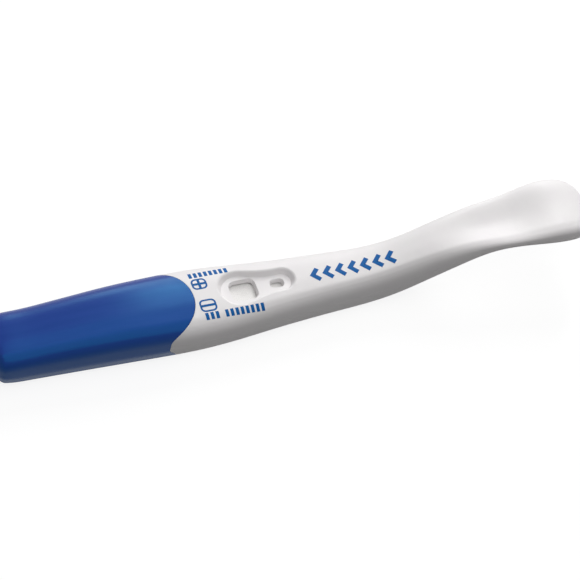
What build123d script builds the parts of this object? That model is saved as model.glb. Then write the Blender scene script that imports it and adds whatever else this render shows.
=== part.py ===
from build123d import *
import math
import os

# A midstream lateral flow test stick: a white two-part casing with a reading well and a thumb rest,
# a blue pull-off cap over the absorbent sampler, and the test strip inside.
# X runs from the closed end of the cap to the end of the thumb rest, Z is up, the unit is the millimetre.
# Places along the stick are measured from the closed end of the cap. The finished pieces are moved
# so that the origin lies under the middle of the stick, on the surface that it rests on.

# Outside form
overall_length = 146.4
tip_width = 15.6          # cap, at its closed end
body_width = 19.0         # widest place, near the rim of the cap
shoulder_width = 14.0     # casing, behind the reading well
neck_width = 11.2         # casing, at its narrowest
rest_width = 16.9         # thumb rest, at its end
tip_height = 10.1         # top of the cap at its closed end
cap_height = 11.3         # top of the cap at its highest
well_height = 10.4        # top of the casing at the reading well
rest_height = 18.1        # top of the lip at the end of the thumb rest
rest_thickness = 4.6      # of the thumb rest at that lip
end_drop = 1.4            # from that lip to the middle of the end
rest_dish = 1.1           # depth of the thumb rest's hollow
tip_round = 2.2           # rounding of the cap's closed end
tip_lift = 0.7            # underside of the closed end above the table
levelled = 0.35           # how much the table face takes off the rounded underside
rest_round = 4.6          # length over which the end of the thumb rest rounds over
rest_corner = 9.5         # length over which it narrows to the end, seen from above
roundness = 2.9           # of that end, 2 is an ellipse and more is squarer
squareness = 3.4          # of the slices across the stick, in the same way
rest_squareness = 4.2

# Lengths along the stick
cap_length = 48.0         # closed end to the foremost point of the rim
widest_setback = 2.0      # widest place to the rim
well_setback = 6.3        # rim to the reading well
well_length = 18.5
shoulder_setback = 27.0   # rim to the shoulder
lift_run = 19.0           # from where the underside leaves the table to the thumb rest
neck_run = 8.5            # narrowest place to the thumb rest
rest_share = 0.2555       # thumb rest, as a share of the overall length
lip_setback = 9.0         # its raised lip to its end
tip_lift_run = 11.0       # from the closed end to where the cap touches the table

# Cap
rim_depth = 9.4           # how far the rim runs back at the sides
cap_wall = 1.2
cap_end_wall = 2.0
bore_draft = 0.008        # how much the bore widens on each side for each millimetre towards the mouth
cap_clearance = 0.12      # between the spigot and the bore
rim_gap = 0.1             # between the rim and the shoulder of the casing

# Casing
casing_wall = 1.2
spigot_wall = 1.0
spigot_length = 18.0      # how far the casing reaches into the cap from the rim
spigot_root = 6.0         # how far the spigot runs on inside the casing
land = 2.0                # wall left between the rim and the hollow behind it
parting_gap = 0.04        # between the two shells
rib = 1.0                 # thickness of the ribs inside
rib_pitch = 6.0
rib_setback = 3.6         # of the outer ribs from the ends of what they hold
fit = 0.1                 # clearance round pieces that are laid in place

# Reading well and its windows
well_front_radius = 5.0
well_back_radius = 3.2
well_waist_radius = 22.0
well_depth = 1.4
well_slope = 31.0         # of its wall, in degrees from the vertical
well_edge = 0.5           # rounding of its upper edge
well_plate = 1.1          # thickness of its floor
well_skirt = 1.6          # how far that floor runs on under the casing
result_setback = 6.1      # front of the well to the middle of the result window
result_window = (6.5, 5.9, 1.7)      # length, width, corner radius
control_setback = 4.2     # middle of the control window to the back of the well
control_window = (3.5, 2.5, 1.1)
window_slope = 16.0

# Test strip
strip_width = 6.6
strip_bed = 7.0           # height of the underside of the backing
backing_thickness = 0.3
membrane_thickness = 0.2
film_thickness = 0.1
conjugate_thickness = 0.45
sink_thickness = 0.8
pad_overlap = 1.5         # pads on the ends of the membrane
membrane_lead = 3.8       # membrane ahead of the well
membrane_tail = 0.19      # membrane behind the well, as a share of the way from there to the neck
conjugate_run = 6.2       # front of the backing to the membrane
wick_lap = 5.0            # conjugate pad on the wick
strip_tail = 0.71         # strip behind the well, in the same way

# Sampler
wick_width = 7.0
wick_thickness = 3.0
wick_reach = 20.5         # how far it stands out of the casing
wick_corner = 2.6

# Pegs and drying tablet
peg_diameter = 1.6
peg_wall = 0.7
peg_height = 2.4
peg_room = 0.4            # between a peg and the wall
front_peg_lead = 0.9      # front pegs ahead of the well
back_peg_setback = 2.8    # back pegs to the back of the well
neck_peg_setback = 3.4    # last peg to the thumb rest
tablet_diameter = 6.0
tablet_thickness = 2.8
tablet_bed = 4.0
tablet_tail = 0.93        # middle of the tablet, in the same way
tablet_play = 0.3         # over the tablet
tablet_bevel = 0.4

# Fineness of the curved surfaces
slice_pitch = 7.5         # between the slices that a form runs through
side_points = 6           # spaces between the points on each side of a slice
margin = 3.0              # how far a cutting shape runs past what it cuts

# Places and heights that follow from these
rest_at = overall_length * (1 - rest_share)
neck_at = rest_at - neck_run
lift_at = rest_at - lift_run
lip_at = overall_length - lip_setback
corner_at = overall_length - rest_corner
cap_crest_at = 0.625 * cap_length
well_front = cap_length + well_setback
well_back = well_front + well_length
result_window_at = well_front + result_setback
control_window_at = well_back - control_setback
spigot_front = cap_length - spigot_length
membrane_front = well_front - membrane_lead
strip_front = membrane_front - conjugate_run
pad_front = strip_front - wick_lap
hollow_back = rest_at - land
strip_top = strip_bed + backing_thickness
well_floor = well_height - well_depth
rest_underside = rest_height - rest_thickness
boss_radius = peg_diameter / 2 + peg_wall


def between(low, high, share):
    """The value that lies this share of the way from low to high."""
    return low + (high - low) * share


def towards_neck(share):
    """A place behind the reading well, from 0 at its back to 1 at the neck."""
    return between(well_back, neck_at, share)


def smooth_curve(*stations):
    """A function that runs smoothly through (place, value) stations and never overshoots them."""
    places = [place for place, value in stations]
    values = [value for place, value in stations]
    slopes = [(v2 - v1) / (p2 - p1) for (p1, v1), (p2, v2) in zip(stations, stations[1:])]
    tangents = [slopes[0]]
    for before, after in zip(slopes, slopes[1:]):
        turns_back = before * after <= 0
        tangents.append(0 if turns_back else 2 * before * after / (before + after))
    tangents.append(slopes[-1])

    def value_at(place):
        last = len(slopes) - 1
        i = max(0, min(last, sum(1 for p in places if p <= place) - 1))
        step = places[i + 1] - places[i]
        t = min(max((place - places[i]) / step, 0), 1)
        return ((1 + 2 * t) * (1 - t) ** 2 * values[i] + t * (1 - t) ** 2 * step * tangents[i]
                + t * t * (3 - 2 * t) * values[i + 1] - t * t * (1 - t) * step * tangents[i + 1])

    return value_at


def on_rest(share):
    """A place on the thumb rest, from 0 at its front to 1 at its end."""
    return between(rest_at, overall_length, share)


def risen(share):
    """A height from 0, at the reading well, to 1, at the lip of the thumb rest."""
    return between(well_height, rest_height, share)


# Places that follow the way from the well to the neck
membrane_back = towards_neck(membrane_tail)
strip_back = towards_neck(strip_tail)
tablet_at = towards_neck(tablet_tail)

# Curves that the outside follows
width_curve = smooth_curve(
    (0, tip_width), (cap_crest_at / 2, between(tip_width, body_width, 0.26)),
    (cap_crest_at, between(tip_width, body_width, 0.7)), (cap_length - widest_setback, body_width),
    (cap_length + shoulder_setback, shoulder_width), (neck_at, neck_width),
    (on_rest(0.35), between(neck_width, rest_width, 0.43)), (corner_at, rest_width),
    (overall_length, rest_width))
top_curve = smooth_curve(
    (0, tip_height), (cap_crest_at / 2, between(tip_height, cap_height, 0.5)), (cap_crest_at, cap_height),
    (cap_length, between(well_height, cap_height, 0.39)), (between(well_front, well_back, 0.42), well_height),
    (lift_at, risen(0.03)), (neck_at, risen(0.24)), (rest_at, risen(0.56)), (on_rest(0.24), risen(0.71)),
    (on_rest(0.535), risen(0.81)), (lip_at, rest_height), (overall_length, rest_height - end_drop))
bottom_curve = smooth_curve(
    (0, tip_lift), (tip_lift_run, -levelled), (lift_at, -levelled),
    (between(lift_at, neck_at, 0.57), 0.03 * rest_underside), (rest_at, 0.45 * rest_underside),
    (on_rest(0.24), 0.87 * rest_underside), (on_rest(0.48), rest_underside),
    (lip_at, 0.96 * rest_underside), (overall_length, rest_underside - end_drop))
dish_curve = smooth_curve(
    (rest_at, 0), (on_rest(0.27), rest_dish), (on_rest(0.59), rest_dish), (lip_at, 0.4 * rest_dish),
    (on_rest(0.9), 0))
squareness_curve = smooth_curve(
    (0, squareness), (neck_at, squareness), (on_rest(0.24), rest_squareness),
    (overall_length, rest_squareness))


def end_share(place):
    """How much of its thickness the thumb rest keeps where its end rounds over, 1 before that."""
    t = max(0, (place - overall_length + rest_round) / rest_round)
    return (1 - t ** roundness) ** (1 / roundness)


def half_width(place):
    """Half the width of the outside at a place. The end of the thumb rest is a squared half ellipse."""
    t = max(0, (place - corner_at) / rest_corner)
    return width_curve(place) / 2 * (1 - t ** roundness) ** (1 / roundness)


def heights(place):
    """Top and bottom of the outside at a place."""
    top, bottom = top_curve(place), bottom_curve(place)
    middle, share = (top + bottom) / 2, end_share(place)
    return between(middle, top, share), between(middle, bottom, share)


def parting(place):
    """Height of the line where the two shells of the casing meet."""
    top, bottom = heights(place)
    return (top - dish_curve(place) + bottom) / 2


def section(place, width_2, top, bottom, power, dish=0.0):
    """One slice across the stick: a squared ellipse with its top hollowed by the dish, in four sides."""
    middle, half_height = (top + bottom) / 2, (top - bottom) / 2

    def point(angle):
        across, up = math.cos(angle), math.sin(angle)
        reach = (abs(across) ** power + abs(up) ** power) ** (-1 / power)
        hollow = dish * math.cos(math.pi / 2 * reach * across) ** 2 if up > 0 else 0
        return Vector(place, width_2 * reach * across, middle + half_height * reach * up - hollow)

    def direction(angle):
        return (point(angle + 0.001) - point(angle - 0.001)).normalized()

    knots = [step / side_points for step in range(side_points + 1)]
    sides = []
    for side in range(4):
        angles = [math.pi / 2 * (side - 0.5 + knot) for knot in knots]
        sides.append(Edge.make_spline([point(angle) for angle in angles],
                                      [direction(angles[0]), direction(angles[-1])], parameters=knots))
    return Face(Wire(sides))


def outside_section(place, inset=0.0):
    top, bottom = heights(place)
    return section(place, half_width(place) - inset, top - inset, bottom + inset,
                   squareness_curve(place), dish_curve(place))


def slices(start, stop):
    """Places of the slices between two ends. Every form uses the same ones, so that their surfaces keep together."""
    first, last = math.ceil(start / slice_pitch + 0.3), math.floor(stop / slice_pitch - 0.3)
    return [start] + [slice_pitch * step for step in range(first, last + 1)] + [stop]


def stick_form():
    """The whole outside of the capped stick as one body."""
    sections = []
    for angle in (0, 25, 50, 70):
        inset = tip_round * (1 - math.sin(math.radians(angle)))
        place = tip_round * (1 - math.cos(math.radians(angle)))
        sections.append(outside_section(place, inset))
    sections += [outside_section(place) for place in slices(tip_round, corner_at)]
    for angle in (22, 41, 56, 68, 78, 84, 87):
        sections.append(outside_section(corner_at + rest_corner * math.sin(math.radians(angle))))
    table = Pos(overall_length / 2, 0, -body_width) * Box(2 * overall_length, 2 * body_width, 2 * body_width)
    return loft(sections) - table


def bore_section(place, shrink):
    """A slice of the cap's bore, which widens towards the mouth so that the cap draws off."""
    take = cap_wall + bore_draft * (cap_length - place) + shrink
    width_2 = min(half_width(place), half_width(cap_length)) - take
    top = min(heights(place)[0], heights(cap_length)[0]) - take
    return section(place, width_2, top, max(heights(place)[1], 0) + take, squareness)


def bore_form(start, stop, shrink=0.0):
    return loft([bore_section(place, shrink) for place in slices(start, stop)])


def hollow_form(start, stop, inset):
    """The inside of the casing behind the rim, as far in from the outside as the inset says."""
    sections = []
    for place in slices(start, stop):
        top, bottom = heights(place)
        sections.append(section(place, half_width(place) - inset, top - inset, max(bottom, 0) + inset,
                                squareness_curve(place)))
    return loft(sections)


def ahead_of_rim(shift):
    """Everything ahead of the rim, which from above is a straight edge with half an ellipse on it."""
    middle = cap_length - rim_depth + shift
    bulge = Pos(middle, 0) * Ellipse(rim_depth, body_width / 2)
    front = Pos(middle - overall_length / 2, 0) * Rectangle(overall_length, 2 * body_width)
    return extrude(bulge + front, 2 * rest_height, both=True)


def below_parting(shift):
    """Everything below the line where the two shells meet."""
    start, stop = spigot_front - margin, overall_length + margin
    line = Spline([(place, 0, parting(min(place, overall_length)) + shift) for place in slices(start, stop)])
    frame = Polyline(line @ 1, (stop, 0, -margin), (start, 0, -margin), line @ 0)
    return extrude(make_face(Curve() + line + frame), body_width, both=True)


def bar(x_from, x_to, width, z_from, z_to):
    """A plain bar across the middle of the stick."""
    size = (x_to - x_from, width, z_to - z_from)
    return Pos((x_from + x_to) / 2, 0, (z_from + z_to) / 2) * Box(*size)


def post(place, across, radius, z_from, z_to):
    return Pos(place, across, (z_from + z_to) / 2) * Cylinder(radius, z_to - z_from)


def rib_places(start, stop):
    """Places for the fronts of ribs from start to stop, about a rib pitch apart."""
    spaces = max(1, round((stop - start) / rib_pitch))
    return [between(start, stop, step / spaces) for step in range(spaces + 1)]


def well_outline(height, inset):
    """The well from above: a large and a small lobe with a slight waist between them."""
    front = Vector(well_front + well_front_radius, 0, height)
    back = Vector(well_back - well_back_radius, 0, height)
    r1, r2, waist = well_front_radius - inset, well_back_radius - inset, well_waist_radius + inset
    span = (back - front).X
    along = ((r1 + waist) ** 2 - (r2 + waist) ** 2 + span ** 2) / (2 * span)
    centre = front + Vector(along, math.sqrt((r1 + waist) ** 2 - along ** 2))
    start = front + (centre - front).normalized() * r1
    stop = back + (centre - back).normalized() * r2
    dip = centre - Vector(0, waist)
    other_side = [Vector(p.X, -p.Y, p.Z) for p in (start, dip, stop)]
    edges = [ThreePointArc(start, dip, stop), ThreePointArc(stop, back + Vector(r2, 0), other_side[2]),
             ThreePointArc(*reversed(other_side)), ThreePointArc(other_side[0], front - Vector(r1, 0), start)]
    return make_face(Curve() + edges)


def well_cutter():
    """The space over the well, which widens upwards by the slope of its wall."""
    spread = well_depth * math.tan(math.radians(well_slope))
    return loft([well_outline(well_floor, spread), well_outline(well_height + well_depth, -spread)])


def soften_well(shell):
    """Rounds the edge where the wall of the well meets the top of the casing."""
    rim = shell.edges().filter_by_position(Axis.X, well_front - margin, well_back + margin)
    rim = rim.filter_by_position(Axis.Y, -well_front_radius, well_front_radius)
    return fillet(rim.filter_by_position(Axis.Z, well_floor + well_depth / 2, rest_height), well_edge)


def window_cutter(place, sizes):
    """The space in a window. It has its stated size at the floor of the well and widens upwards."""
    length, width, corner = sizes
    spread = well_plate * math.tan(math.radians(window_slope))
    levels = []
    for step in (-2, 1):
        wider = spread * step
        outline = RectangleRounded(length + 2 * wider, width + 2 * wider, corner + wider)
        levels.append(Pos(place, 0, well_floor + well_plate * step) * outline)
    return loft(levels)


def peg_places():
    """Where the pegs stand: place along the stick and distance to the side, close to the wall."""
    pairs = []
    for place in (well_front - front_peg_lead, well_back - back_peg_setback):
        across = half_width(place) - casing_wall - peg_room - peg_diameter / 2
        pairs += [(place, -across), (place, across)]
    return pairs + [(rest_at - neck_peg_setback, 0)]


def rib_room():
    """The inside of the casing and half its wall, so that what stands in it joins the wall."""
    front = bore_form(spigot_front + spigot_wall / 2, cap_length + margin, cap_clearance + spigot_wall / 2)
    return front + hollow_form(cap_length + 0.7 * land, hollow_back + casing_wall / 2, casing_wall / 2)


def casing_shell():
    """Both shells of the casing as one hollow body, with the spigot that the cap fits over."""
    spigot = bore_form(spigot_front, cap_length + spigot_root, cap_clearance)
    body = stick_form() - ahead_of_rim(rim_gap) + spigot
    body -= bore_form(spigot_front + spigot_wall, cap_length + margin, cap_clearance + spigot_wall)
    body -= hollow_form(cap_length + land, hollow_back, casing_wall)
    return body - bar(spigot_front - margin, spigot_front + margin, wick_width + 2 * fit,
                      strip_top - wick_thickness - fit, strip_top + fit)


def lower_inside():
    """What stands up from the lower shell: bed ribs, side rails, peg bosses and the tablet's pocket."""
    stop_at = strip_back + fit
    pieces = [bar(stop_at, stop_at + rib, strip_width, 0, strip_top + sink_thickness)]
    for place in rib_places(spigot_front + rib_setback, strip_front - rib_setback):
        pieces.append(bar(place, place + rib, wick_width, 0, strip_top - wick_thickness))
    for place in rib_places(strip_front + rib, strip_back - rib_setback):
        pieces.append(bar(place, place + rib, strip_width, 0, strip_bed))
    for side in (-1, 1):
        rail = bar(strip_front + rib, stop_at + rib, peg_wall, 0, strip_top + backing_thickness)
        pieces.append(Pos(0, side * (strip_width / 2 + fit + peg_wall / 2)) * rail)
        guide = bar(spigot_front + spigot_wall, strip_front - rib, peg_wall, 0, strip_top - rib)
        pieces.append(Pos(0, side * (wick_width / 2 + fit + peg_wall / 2)) * guide)
    pocket_radius = tablet_diameter / 2 + fit
    pieces.append(post(tablet_at, 0, pocket_radius + peg_wall, 0, tablet_bed + tablet_thickness / 2))
    inside = Part() + pieces
    inside -= post(tablet_at, 0, pocket_radius, tablet_bed, tablet_bed + tablet_thickness)
    for place, across in peg_places():
        seam = parting(place) - parting_gap
        inside += post(place, across, boss_radius, 0, seam)
        inside -= post(place, across, boss_radius + fit, seam, rest_height)
    return inside


def upper_inside():
    """What hangs from the upper shell: the well's floor, pressing ribs and peg sockets."""
    ceiling = rest_height
    pieces = [bar(well_front - well_skirt, well_back + well_skirt, 2 * (well_front_radius + well_skirt),
                  well_floor - well_plate, ceiling)]
    for place in rib_places(spigot_front + rib_setback, pad_front - 2 * rib):
        pieces.append(bar(place, place + rib, wick_width, strip_top, ceiling))
    pieces.append(bar(strip_front + rib, strip_front + 2 * rib, strip_width,
                      strip_top + conjugate_thickness, ceiling))
    for place in rib_places(membrane_back + rib_setback, strip_back - rib_setback):
        pieces.append(bar(place, place + rib, strip_width, strip_top + sink_thickness, ceiling))
    pieces.append(bar(tablet_at - rib / 2, tablet_at + rib / 2, tablet_diameter,
                      tablet_bed + tablet_thickness + tablet_play, ceiling))
    for place, across in peg_places():
        pieces.append(post(place, across, boss_radius, parting(place) + parting_gap, ceiling))
    return Part() + pieces


def upper_casing(shell, room):
    shell = shell + (upper_inside() & room) - below_parting(parting_gap / 2)
    for place, across in peg_places():
        shell -= post(place, across, (peg_diameter + fit) / 2, parting(place) - rib,
                      parting(place) + peg_height + 2 * fit)
    shell = soften_well(shell - well_cutter())
    shell -= window_cutter(result_window_at, result_window)
    return shell - window_cutter(control_window_at, control_window)


def lower_casing(shell, room):
    shell = (shell & below_parting(-parting_gap / 2)) + (lower_inside() & room)
    for place, across in peg_places():
        shell += post(place, across, peg_diameter / 2, parting(place) - rib, parting(place) + peg_height)
    return shell


def cap():
    return (stick_form() & ahead_of_rim(0)) - bore_form(cap_end_wall, cap_length + margin)


def sampler_wick():
    """The absorbent sampler: a flat bar with rounded front corners, gripped between the shells."""
    front, back = spigot_front - wick_reach, strip_front - fit
    outline = Pos((front + back) / 2, 0) * Rectangle(back - front, wick_width)
    outline = fillet(outline.vertices().sort_by(Axis.X)[:2], wick_corner)
    return Pos(0, 0, strip_top - wick_thickness) * extrude(outline, wick_thickness)


def strip_piece(*profile):
    """A layer of the test strip, from its outline seen from the side."""
    side = make_face(Polyline([(place, 0, height) for place, height in profile], close=True))
    return extrude(side, strip_width / 2, both=True)


def strip_backing():
    return bar(strip_front, strip_back, strip_width, strip_bed, strip_top)


def membrane():
    return bar(membrane_front, membrane_back, strip_width, strip_top, strip_top + membrane_thickness)


def cover_film():
    low = strip_top + membrane_thickness
    return bar(membrane_front + pad_overlap, membrane_back - pad_overlap, strip_width,
               low, low + film_thickness)


def conjugate_pad():
    """Lies on the back of the wick and on the backing, and laps over the front of the membrane."""
    step = strip_top + membrane_thickness
    lap_end = membrane_front + pad_overlap
    return strip_piece((pad_front, strip_top), (membrane_front, strip_top),
                       (membrane_front, step), (lap_end, step), (lap_end, step + conjugate_thickness),
                       (membrane_front - membrane_thickness, step + conjugate_thickness),
                       (membrane_front - 2 * membrane_thickness, strip_top + conjugate_thickness),
                       (pad_front, strip_top + conjugate_thickness))


def sink_pad():
    """Lies on the backing behind the membrane and laps over its end."""
    step = strip_top + membrane_thickness
    lap_end = membrane_back - pad_overlap
    return strip_piece((strip_back, strip_top), (membrane_back, strip_top), (membrane_back, step),
                       (lap_end, step), (lap_end, step + sink_thickness),
                       (membrane_back + membrane_thickness, step + sink_thickness),
                       (membrane_back + 2 * membrane_thickness, strip_top + sink_thickness),
                       (strip_back, strip_top + sink_thickness))


def desiccant_tablet():
    """A flat round tablet with bevelled edges, loose in its pocket."""
    tablet = post(tablet_at, 0, tablet_diameter / 2, tablet_bed, tablet_bed + tablet_thickness)
    return chamfer(tablet.edges().filter_by(GeomType.CIRCLE), tablet_bevel)


both_shells, inner_room = casing_shell(), rib_room()
pieces = {
    "upper_casing": upper_casing(both_shells, inner_room),
    "lower_casing": lower_casing(both_shells, inner_room),
    "cap": cap(), "sampler_wick": sampler_wick(), "strip_backing": strip_backing(),
    "conjugate_pad": conjugate_pad(), "membrane": membrane(), "sink_pad": sink_pad(),
    "cover_film": cover_film(), "desiccant_tablet": desiccant_tablet()}

os.makedirs("parts", exist_ok=True)
for name, piece in pieces.items():
    export_step(Pos(-overall_length / 2, 0, 0) * piece, f"parts/{name}.step")
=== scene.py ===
# %% [markdown]
# # A midstream test stick with a pull-off cap
#
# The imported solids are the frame. This script gives them their plastics, papers and film, prints
# the icons and the rows of marks on the casing, and sets the floor, the lamps and the camera.
# Blender works in metres. Places on the stick are written in millimetres from the closed end of
# the cap, as on a drawing, and `place` turns them into frame coordinates.

import math

import bpy
from mathutils import Matrix, Vector
from mathutils.bvhtree import BVHTree


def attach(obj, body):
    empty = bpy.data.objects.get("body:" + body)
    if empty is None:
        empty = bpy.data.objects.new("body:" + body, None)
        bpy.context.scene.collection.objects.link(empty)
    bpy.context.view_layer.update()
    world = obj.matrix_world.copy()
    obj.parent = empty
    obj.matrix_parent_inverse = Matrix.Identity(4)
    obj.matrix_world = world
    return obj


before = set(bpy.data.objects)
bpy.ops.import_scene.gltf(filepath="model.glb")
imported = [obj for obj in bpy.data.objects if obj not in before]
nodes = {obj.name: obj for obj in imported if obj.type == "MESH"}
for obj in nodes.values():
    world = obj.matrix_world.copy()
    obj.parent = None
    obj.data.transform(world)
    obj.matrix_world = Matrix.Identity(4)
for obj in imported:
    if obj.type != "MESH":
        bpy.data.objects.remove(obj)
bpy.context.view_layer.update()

MM = 0.001                  # one millimetre in metres
STICK_LENGTH = 146.4        # overall length of the stick in mm


def place(x, y, z=0.0):
    """A point x mm from the closed end of the cap, y mm to the far side and z mm up."""
    return Vector((x - STICK_LENGTH / 2, y, z)) * MM


def new_object(name, data):
    """An object in the scene with this mesh, lamp or camera."""
    made = bpy.data.objects.new(name, data)
    bpy.context.scene.collection.objects.link(made)
    return made


# %% [markdown]
# ## Camera
# A long lens from the front left, looking down. The three numbers of `camera_stand` and the two
# directions come from fitting the outline of the stick to the photograph.

# %% Camera
camera_stand = Vector((-0.17032, -0.32824, 0.47279))
looking = Vector((0.2843, 0.5508, -0.7847)).normalized()
upward = Vector((0.1922, 0.7692, 0.6095))

camera_data = bpy.data.cameras.new("camera")
camera_data.sensor_width = 36.0
camera_data.lens = 158.15
camera_data.clip_start = 0.01
camera = new_object("camera", camera_data)
rightward = looking.cross(upward).normalized()
upward = rightward.cross(looking)
turn = Matrix((rightward, upward, -looking)).transposed().to_4x4()
camera.matrix_world = Matrix.Translation(camera_stand) @ turn
bpy.context.scene.camera = camera
bpy.context.scene.view_settings.view_transform = "Standard"

# %% [markdown]
# ## Colours and node helpers
# Colours are written as they look on screen and turned into the linear values that shaders use.
# `add` makes one node and `fill` sets its sockets, so that each material reads as a short list.
# Noise rarely reaches 0 or 1, so a pattern is read between two numbers nearer the middle.

# %% Helpers for materials
PATTERN_LOW, PATTERN_HIGH = 0.3, 0.7


def linear(code):
    """The linear RGBA of a screen colour such as "#ece9ea"."""
    screen = [int(code[i:i + 2], 16) / 255 for i in (1, 3, 5)]
    light = [c / 12.92 if c <= 0.04045 else ((c + 0.055) / 1.055) ** 2.4 for c in screen]
    return (*light, 1.0)


def fill(tree, node, inputs):
    """Sets a node's sockets. A value is a constant, or another node's output to link from."""
    for name, value in inputs.items():
        if isinstance(value, bpy.types.NodeSocket):
            tree.links.new(value, node.inputs[name])
        else:
            node.inputs[name].default_value = value


def add(tree, kind, inputs=None, **settings):
    """One new node, with its sockets and its settings."""
    node = tree.nodes.new(kind)
    for name, value in settings.items():
        setattr(node, name, value)
    fill(tree, node, inputs or {})
    return node


def new_material(name):
    """A new material with its Principled shader wired to the output."""
    material = bpy.data.materials.new(name)
    material.use_nodes = True
    tree = material.node_tree
    return material, tree, tree.nodes["Principled BSDF"]


def millimetres(tree, scale=(1, 1, 1)):
    """Object coordinates in millimetres, stretched by scale so that a pattern can run one way."""
    where = add(tree, "ShaderNodeTexCoord")
    return add(tree, "ShaderNodeMapping", {"Vector": where.outputs["Object"],
                                           "Scale": [s / MM for s in scale]}).outputs["Vector"]


def grain(tree, cell, scale=(1, 1, 1), detail=2.0, roughness=0.5):
    """Noise whose cells are about this many millimetres across."""
    return add(tree, "ShaderNodeTexNoise", {
        "Vector": millimetres(tree, scale), "Scale": 1 / cell,
        "Detail": detail, "Roughness": roughness}).outputs["Fac"]


def spread(tree, value, low, high):
    """Carries a pattern to the numbers from low to high."""
    return add(tree, "ShaderNodeMapRange", {
        "Value": value, "From Min": PATTERN_LOW, "From Max": PATTERN_HIGH,
        "To Min": low, "To Max": high}).outputs["Result"]


def blend_colours(tree, value, first, second):
    """The first colour where the pattern is low and the second where it is high."""
    ramp = add(tree, "ShaderNodeValToRGB", {"Fac": value})
    start, end = ramp.color_ramp.elements
    start.position, end.position = PATTERN_LOW, PATTERN_HIGH
    start.color, end.color = linear(first), linear(second)
    return ramp.outputs["Color"]


def bump(tree, height, depth, below=None):
    """Turns a pattern into relief this many millimetres deep, on top of another relief."""
    inputs = {"Height": height, "Distance": depth * MM, "Strength": 1.0}
    if below:
        inputs["Normal"] = below
    return add(tree, "ShaderNodeBump", inputs).outputs["Normal"]


# %% [markdown]
# ## Plastics
# The casing is an injection moulding in white ABS with the fine spark-eroded skin of its mould.
# The cap is polypropylene: smoother, deeper in colour, with faint flow lines along the pull.

# %% Materials of the casing and the cap
def moulded_white():
    """White ABS, satin: a fine even texture, and a hint of sink over the ribs inside."""
    material, tree, shader = new_material("abs_white_satin")
    texture = grain(tree, 0.16, detail=3.0)
    sink = grain(tree, 6.0, detail=1.0)
    fill(tree, shader, {
        "Base Color": blend_colours(tree, sink, "#ebe8e9", "#edebeb"),
        "Roughness": spread(tree, texture, 0.40, 0.50),
        "Specular IOR Level": 0.25,
        "Normal": bump(tree, texture, 0.006, below=bump(tree, sink, 0.02)),
    })
    return material


def moulded_blue():
    """Blue polypropylene, satin gloss: its pigment tints what it reflects."""
    material, tree, shader = new_material("pp_blue_satin_gloss")
    flow = grain(tree, 1.6, scale=(0.12, 1, 1), detail=2.0)
    texture = grain(tree, 0.22, detail=2.0)
    fill(tree, shader, {
        "Base Color": blend_colours(tree, flow, "#242d86", "#28318b"),
        "Roughness": spread(tree, texture, 0.22, 0.27),
        "Specular IOR Level": 0.5,
        "Specular Tint": linear("#00d0ff"),
        "Normal": bump(tree, texture, 0.003, below=bump(tree, flow, 0.006)),
    })
    return material


# %% [markdown]
# ## Papers, fibre, film and ink
# These are the parts that do the work: the wick in the cap, and the strip that shows through the
# two windows. Each has the grain of its own sheet, at its real size.

# %% Materials of the strip and the print
def bonded_fibre():
    """White polyester wick: fibres bonded side by side along the stick."""
    material, tree, shader = new_material("polyester_fibre_matte")
    fibres = grain(tree, 0.25, scale=(0.06, 1, 1), detail=4.0, roughness=0.65)
    fill(tree, shader, {
        "Base Color": blend_colours(tree, fibres, "#dcdad4", "#f4f3ef"),
        "Roughness": 0.9,
        "Specular IOR Level": 0.2,
        "Normal": bump(tree, fibres, 0.06),
    })
    return material


def glass_fibre_pad():
    """Glass fibre pad with the dried blue colour of its markers, darker where it is thin."""
    material, tree, shader = new_material("glass_fibre_matte")
    mat = grain(tree, 0.3, detail=5.0, roughness=0.7)
    fill(tree, shader, {
        "Base Color": blend_colours(tree, mat, "#a9b7d6", "#d8dfee"),
        "Roughness": 0.85,
        "Normal": bump(tree, mat, 0.05),
    })
    return material


def pressed_paper():
    """Thick blotting paper for the pad at the far end: soft fibres felted every way."""
    material, tree, shader = new_material("cotton_paper_matte")
    felt = grain(tree, 0.4, detail=6.0, roughness=0.7)
    fill(tree, shader, {
        "Base Color": blend_colours(tree, felt, "#e6e2d8", "#f3f0e8"),
        "Roughness": 0.95,
        "Normal": bump(tree, felt, 0.06),
    })
    return material


def nitrocellulose():
    """The reading membrane: chalky, very fine, with faint clouds in its coating."""
    material, tree, shader = new_material("nitrocellulose_matte")
    clouds = grain(tree, 1.2, detail=3.0)
    pores = grain(tree, 0.08, detail=2.0)
    fill(tree, shader, {
        "Base Color": blend_colours(tree, clouds, "#f2f0ee", "#f6f4f2"),
        "Roughness": 0.8,
        "Specular IOR Level": 0.3,
        "Normal": bump(tree, pores, 0.003),
    })
    return material


def backing_sheet():
    """White polystyrene card, glossy, with the fine lines that slitting leaves along it."""
    material, tree, shader = new_material("polystyrene_card_gloss")
    slits = grain(tree, 0.5, scale=(0.03, 1, 1), detail=2.0)
    fill(tree, shader, {
        "Base Color": blend_colours(tree, slits, "#e9eaec", "#f0f1f3"),
        "Roughness": spread(tree, slits, 0.18, 0.28),
        "Normal": bump(tree, slits, 0.004),
    })
    return material


def clear_film():
    """Polyester film over the membrane: it is seen only where it catches a light."""
    material, tree, shader = new_material("polyester_film_clear")
    ripple = grain(tree, 4.0, detail=1.0)
    fill(tree, shader, {
        "Base Color": linear("#f6f8f9"),
        "Alpha": 0.06,
        "Roughness": spread(tree, ripple, 0.18, 0.26),
        "Normal": bump(tree, ripple, 0.01),
    })
    return material


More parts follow.
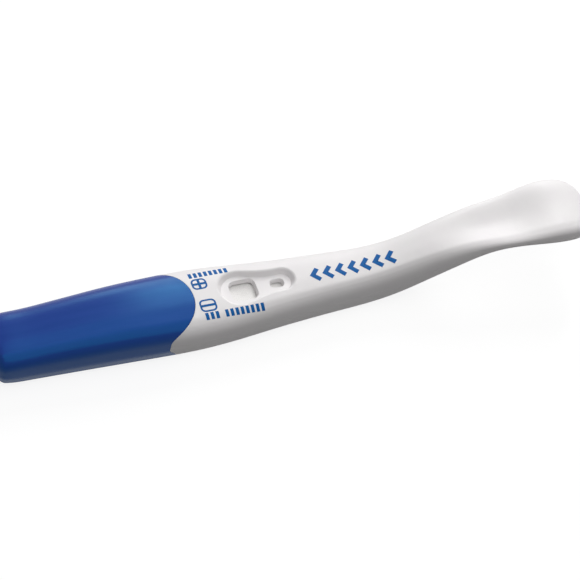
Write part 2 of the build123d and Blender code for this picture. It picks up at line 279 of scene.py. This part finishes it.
def pressed_clay():
    """The drying tablet: pressed mineral powder, pale and crumbly."""
    material, tree, shader = new_material("pressed_mineral_chalky")
    powder = grain(tree, 0.25, detail=5.0, roughness=0.7)
    fill(tree, shader, {
        "Base Color": blend_colours(tree, powder, "#d9d2c4", "#ece7dc"),
        "Roughness": 0.95,
        "Normal": bump(tree, powder, 0.05),
    })
    return material


def printing_ink():
    """Blue pad-printing ink: thin, slightly uneven where the pad pressed it down."""
    material, tree, shader = new_material("pad_print_ink_blue")
    press = grain(tree, 0.5, detail=3.0)
    fill(tree, shader, {
        "Base Color": blend_colours(tree, press, "#085a9e", "#0a60a6"),
        "Roughness": spread(tree, press, 0.50, 0.62),
        "Specular IOR Level": 0.15,
        "Normal": bump(tree, press, 0.003),
    })
    return material


# %% Dress the nodes of the frame
white, ink = moulded_white(), printing_ink()
finishes = {
    "upper_casing": white,
    "lower_casing": white,
    "cap": moulded_blue(),
    "sampler_wick": bonded_fibre(),
    "strip_backing": backing_sheet(),
    "conjugate_pad": glass_fibre_pad(),
    "membrane": nitrocellulose(),
    "sink_pad": pressed_paper(),
    "cover_film": clear_film(),
    "desiccant_tablet": pressed_clay(),
}
for name, material in finishes.items():
    for slot in nodes[name].material_slots:
        slot.material = material

# %% [markdown]
# ## Print
# Every printed mark is made of strokes: ribbons of ink along a line, with square ends. They are
# drawn flat, in millimetres, and then laid down on the casing by dropping each point onto it, so
# that the ink follows the crown of the moulding.

# %% Strokes of ink
INK = 0.02                  # thickness of the printed film in mm
STEP = 0.25                 # distance between the points of a stroke in mm
ACROSS = 4                  # faces across a stroke
MITRE_LIMIT = 0.3           # keeps the outside of a sharp corner from running out to a spike
DROP_FROM = 40              # height from which the points are dropped in mm
casing_skin = BVHTree.FromObject(nodes["upper_casing"], bpy.context.evaluated_depsgraph_get())


def resample(line, closed=False):
    """The same line with points no further apart than STEP, its corners kept."""
    ends = line[1:] + line[:1] if closed else line[1:]
    points = []
    for a, b in zip(line, ends):
        pieces = max(1, math.ceil((b - a).length / STEP))
        points += [a.lerp(b, i / pieces) for i in range(pieces)]
    return points if closed else points + [line[-1]]


def stroke(line, width, closed=False):
    """Vertices and faces of a flat ribbon along a line of (x, y) points in mm."""
    points = resample([Vector(p) for p in line], closed)
    count = len(points)
    vertices, faces = [], []
    for i, point in enumerate(points):
        before = point - points[i - 1] if closed or i else points[1] - point
        after = points[(i + 1) % count] - point if closed or i < count - 1 else before
        before, after = before.normalized(), after.normalized()
        tangent = (before + after).normalized()
        half = width / 2 / max(MITRE_LIMIT, tangent.dot(after))
        side = Vector((-tangent.y, tangent.x))
        vertices += [point + side * half * (2 * j / ACROSS - 1) for j in range(ACROSS + 1)]
    for i in range(count if closed else count - 1):
        here, there = i * (ACROSS + 1), (i + 1) % count * (ACROSS + 1)
        faces += [(here + j, there + j, there + j + 1, here + j + 1) for j in range(ACROSS)]
    return vertices, faces


def flat_mesh(name, strokes):
    """One mesh of several strokes, drawn flat at height 0."""
    vertices, faces = [], []
    for more_vertices, more_faces in strokes:
        start = len(vertices)
        vertices += [place(v.x, v.y) for v in more_vertices]
        faces += [[start + i for i in face] for face in more_faces]
    mesh = bpy.data.meshes.new(name)
    mesh.from_pydata(vertices, [], faces)
    return mesh


def print_mark(name, mesh):
    """Lays a flat mesh on the casing as a film of ink that moves with the stick."""
    for vertex in mesh.vertices:
        above = Vector((vertex.co.x, vertex.co.y, DROP_FROM * MM))
        spot, normal, _, _ = casing_skin.ray_cast(above, Vector((0, 0, -1)))
        vertex.co = spot + normal * INK * MM
    for face in mesh.polygons:
        face.use_smooth = True
    mesh.materials.clear()  # a row comes with an empty slot
    mesh.materials.append(ink)
    mark = new_object(name, mesh)
    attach(mark, "stick")


# %% [markdown]
# Two icons stand beside the cap's rim: a plus on the far side and a minus on the near side, each
# in a box with round corners.

# %% Icons
LINE, BOLD = 0.44, 0.64     # width of the lines of a box and of its sign in mm
ICON_CORNER = 0.9           # radius of a box's corners in mm
CORNER_STEP = 15            # degrees between the points of a corner


def rounded_box(x, y, length, width, radius):
    """The closed outline of a box with round corners, about its middle."""
    outline = []
    for corner, (sx, sy) in enumerate(((1, 1), (-1, 1), (-1, -1), (1, -1))):
        for turn_by in range(0, 91, CORNER_STEP):
            angle = math.radians(corner * 90 + turn_by)
            outline.append((x + sx * (length / 2 - radius) + radius * math.cos(angle),
                            y + sy * (width / 2 - radius) + radius * math.sin(angle)))
    return outline


def print_icon(name, x, y, length, width, upright):
    """Prints a minus in a box, or a plus if it has an upright bar."""
    strokes = [stroke(rounded_box(x, y, length, width, ICON_CORNER), LINE, closed=True),
               stroke([(x - length / 2, y), (x + length / 2, y)], BOLD)]
    if upright:
        strokes.append(stroke([(x, y - width / 2), (x, y + width / 2)], BOLD))
    print_mark(name, flat_mesh(name, strokes))


print_icon("plus_icon", 50.35, 2.96, length=3.25, width=2.75, upright=True)
print_icon("minus_icon", 50.55, -3.4, length=3.55, width=2.95, upright=False)

# %% [markdown]
# ## Rows of marks
# What the object says in words is left out. Rows of plain ticks stand for the lines of legend,
# and further along the casing a row of chevrons points to the sampler. Every row is one mark
# repeated by Geometry Nodes, and the result is kept as a plain mesh before it is laid down.

# %% Rows
TICK_WIDTH, TICK_PITCH = 0.78, 1.24     # mm
CHEVRON_WIDTH, CHEVRON_PITCH = 1.1, 3.1


def row_tree():
    """Copies of the incoming mesh in a row along X."""
    tree = bpy.data.node_groups.new("row_along_stick", "GeometryNodeTree")
    for name, way, kind in (("Geometry", "INPUT", "NodeSocketGeometry"),
                            ("Count", "INPUT", "NodeSocketInt"),
                            ("Spacing", "INPUT", "NodeSocketFloat"),
                            ("Geometry", "OUTPUT", "NodeSocketGeometry")):
        tree.interface.new_socket(name, in_out=way, socket_type=kind)
    entry = add(tree, "NodeGroupInput").outputs
    step = add(tree, "ShaderNodeCombineXYZ", {"X": entry["Spacing"]})
    line = add(tree, "GeometryNodeMeshLine", {
        "Count": entry["Count"], "Offset": step.outputs["Vector"]})
    copies = add(tree, "GeometryNodeInstanceOnPoints", {
        "Points": line.outputs["Mesh"], "Instance": entry["Geometry"]})
    real = add(tree, "GeometryNodeRealizeInstances", {"Geometry": copies.outputs["Instances"]})
    add(tree, "NodeGroupOutput", {"Geometry": real.outputs["Geometry"]})
    return tree


row_along_stick = row_tree()


def repeated(mesh, count, spacing):
    """The plain mesh of a row of count copies, spacing mm apart."""
    carrier = new_object("row_carrier", mesh)
    modifier = carrier.modifiers.new("row", "NODES")
    modifier.node_group = row_along_stick
    for name, value in (("Count", count), ("Spacing", spacing * MM)):
        modifier[row_along_stick.interface.items_tree[name].identifier] = value
    carrier.update_tag()
    shape = carrier.evaluated_get(bpy.context.evaluated_depsgraph_get())
    row = bpy.data.meshes.new_from_object(shape)
    bpy.data.objects.remove(carrier)
    return row


def tick_row(name, x, y, count, height):
    """Prints a row of upright ticks, the first of them at x."""
    tick = flat_mesh(name, [stroke([(x, y - height / 2), (x, y + height / 2)], TICK_WIDTH)])
    print_mark(name, repeated(tick, count, TICK_PITCH))


def chevron_row(name, x, y, count, reach, rise):
    """Prints a row of chevrons that point to the cap, the point of the first at x."""
    chevron = flat_mesh(name, [stroke(
        [(x + reach, y + rise), (x, y), (x + reach, y - rise)], CHEVRON_WIDTH)])
    print_mark(name, repeated(chevron, count, CHEVRON_PITCH))


tick_row("far_legend_ticks", 49.0, 5.75, count=8, height=1.6)
tick_row("near_legend_short_ticks", 49.5, -6.2, count=3, height=1.7)
tick_row("near_legend_long_ticks", 54.3, -6.2, count=8, height=1.7)
chevron_row("chevron_row", 77.0, -0.9, count=7, reach=1.5, rise=1.6)

# %% [markdown]
# ## Floor and light
# The floor is plain. What the camera and reflections see of it is white, with the shadow of the
# stick still on it, while the light that it throws back at the stick is that of a grey table.
# The room is treated in the same way: white to look at, and dim as a source of light.

# %% Floor
FLOOR_REACH = 3.0           # from the middle of the floor to its sides in m
FLOOR_GLOW = 0.86           # brings the floor to white where it is seen, clear of the shadow
WHITE = (1, 1, 1, 1)


def seen_directly(tree):
    """1 for rays from the camera, from a gloss or through something clear, otherwise 0."""
    path = add(tree, "ShaderNodeLightPath").outputs
    either = add(tree, "ShaderNodeMath", {0: path["Is Camera Ray"], 1: path["Is Glossy Ray"]},
                 operation="MAXIMUM").outputs[0]
    return add(tree, "ShaderNodeMath", {0: either, 1: path["Is Transmission Ray"]},
               operation="MAXIMUM").outputs[0]


def floor_material():
    """A matte grey table that glows white towards the camera and into reflections."""
    material = bpy.data.materials.new("floor_white_matte")
    material.use_nodes = True
    tree = material.node_tree
    tree.nodes.clear()
    table = add(tree, "ShaderNodeBsdfDiffuse", {"Color": linear("#7c7c7c")}).outputs[0]
    glow = add(tree, "ShaderNodeEmission", {"Color": WHITE, "Strength": FLOOR_GLOW}).outputs[0]
    bright = add(tree, "ShaderNodeAddShader", {0: table, 1: glow}).outputs[0]
    choice = add(tree, "ShaderNodeMixShader", {
        0: seen_directly(tree), 1: table, 2: bright}).outputs[0]
    add(tree, "ShaderNodeOutputMaterial", {"Surface": choice})
    return material


floor_mesh = bpy.data.meshes.new("floor")
floor_corners = [(-1, -1), (1, -1), (1, 1), (-1, 1)]
floor_mesh.from_pydata([(x * FLOOR_REACH, y * FLOOR_REACH, 0) for x, y in floor_corners],
                       [], [(0, 1, 2, 3)])
floor_mesh.materials.append(floor_material())
floor = new_object("floor", floor_mesh)

# %% [markdown]
# A large lamp hangs close over the stick. Two small ones stand behind it: one draws the highlight
# beside the rim of the cap, and the other the pale band along the cap's far side.

# %% Lamps and world
def softbox(name, direction, distance, width, height, watts):
    """A rectangular lamp that stands in this direction from the stick and faces it."""
    data = bpy.data.lights.new(name, "AREA")
    data.shape = "RECTANGLE"
    data.size, data.size_y, data.energy = width, height, watts
    lamp = new_object(name, data)
    lamp.location = Vector(direction).normalized() * distance
    lamp.rotation_euler = Vector(direction).to_track_quat("Z", "Y").to_euler()


softbox("ceiling_lamp", (0.14, -0.15, 1.00), distance=0.5, width=0.66, height=0.66, watts=1.52)
softbox("back_lamp", (0.42, 0.68, 0.59), distance=0.6, width=0.15, height=0.27, watts=1.7)
softbox("far_lamp", (0.27, 0.84, 0.47), distance=0.6, width=0.27, height=0.21, watts=0.55)

world = bpy.data.worlds.new("studio")
bpy.context.scene.world = world
world.use_nodes = True
sky = world.node_tree
sky.nodes.clear()
room = add(sky, "ShaderNodeBackground", {"Color": WHITE, "Strength": 0.15}).outputs[0]
white_wall = add(sky, "ShaderNodeBackground", {"Color": WHITE, "Strength": 1.0}).outputs[0]
choice = add(sky, "ShaderNodeMixShader", {
    0: seen_directly(sky), 1: room, 2: white_wall}).outputs[0]
add(sky, "ShaderNodeOutputWorld", {"Surface": choice})
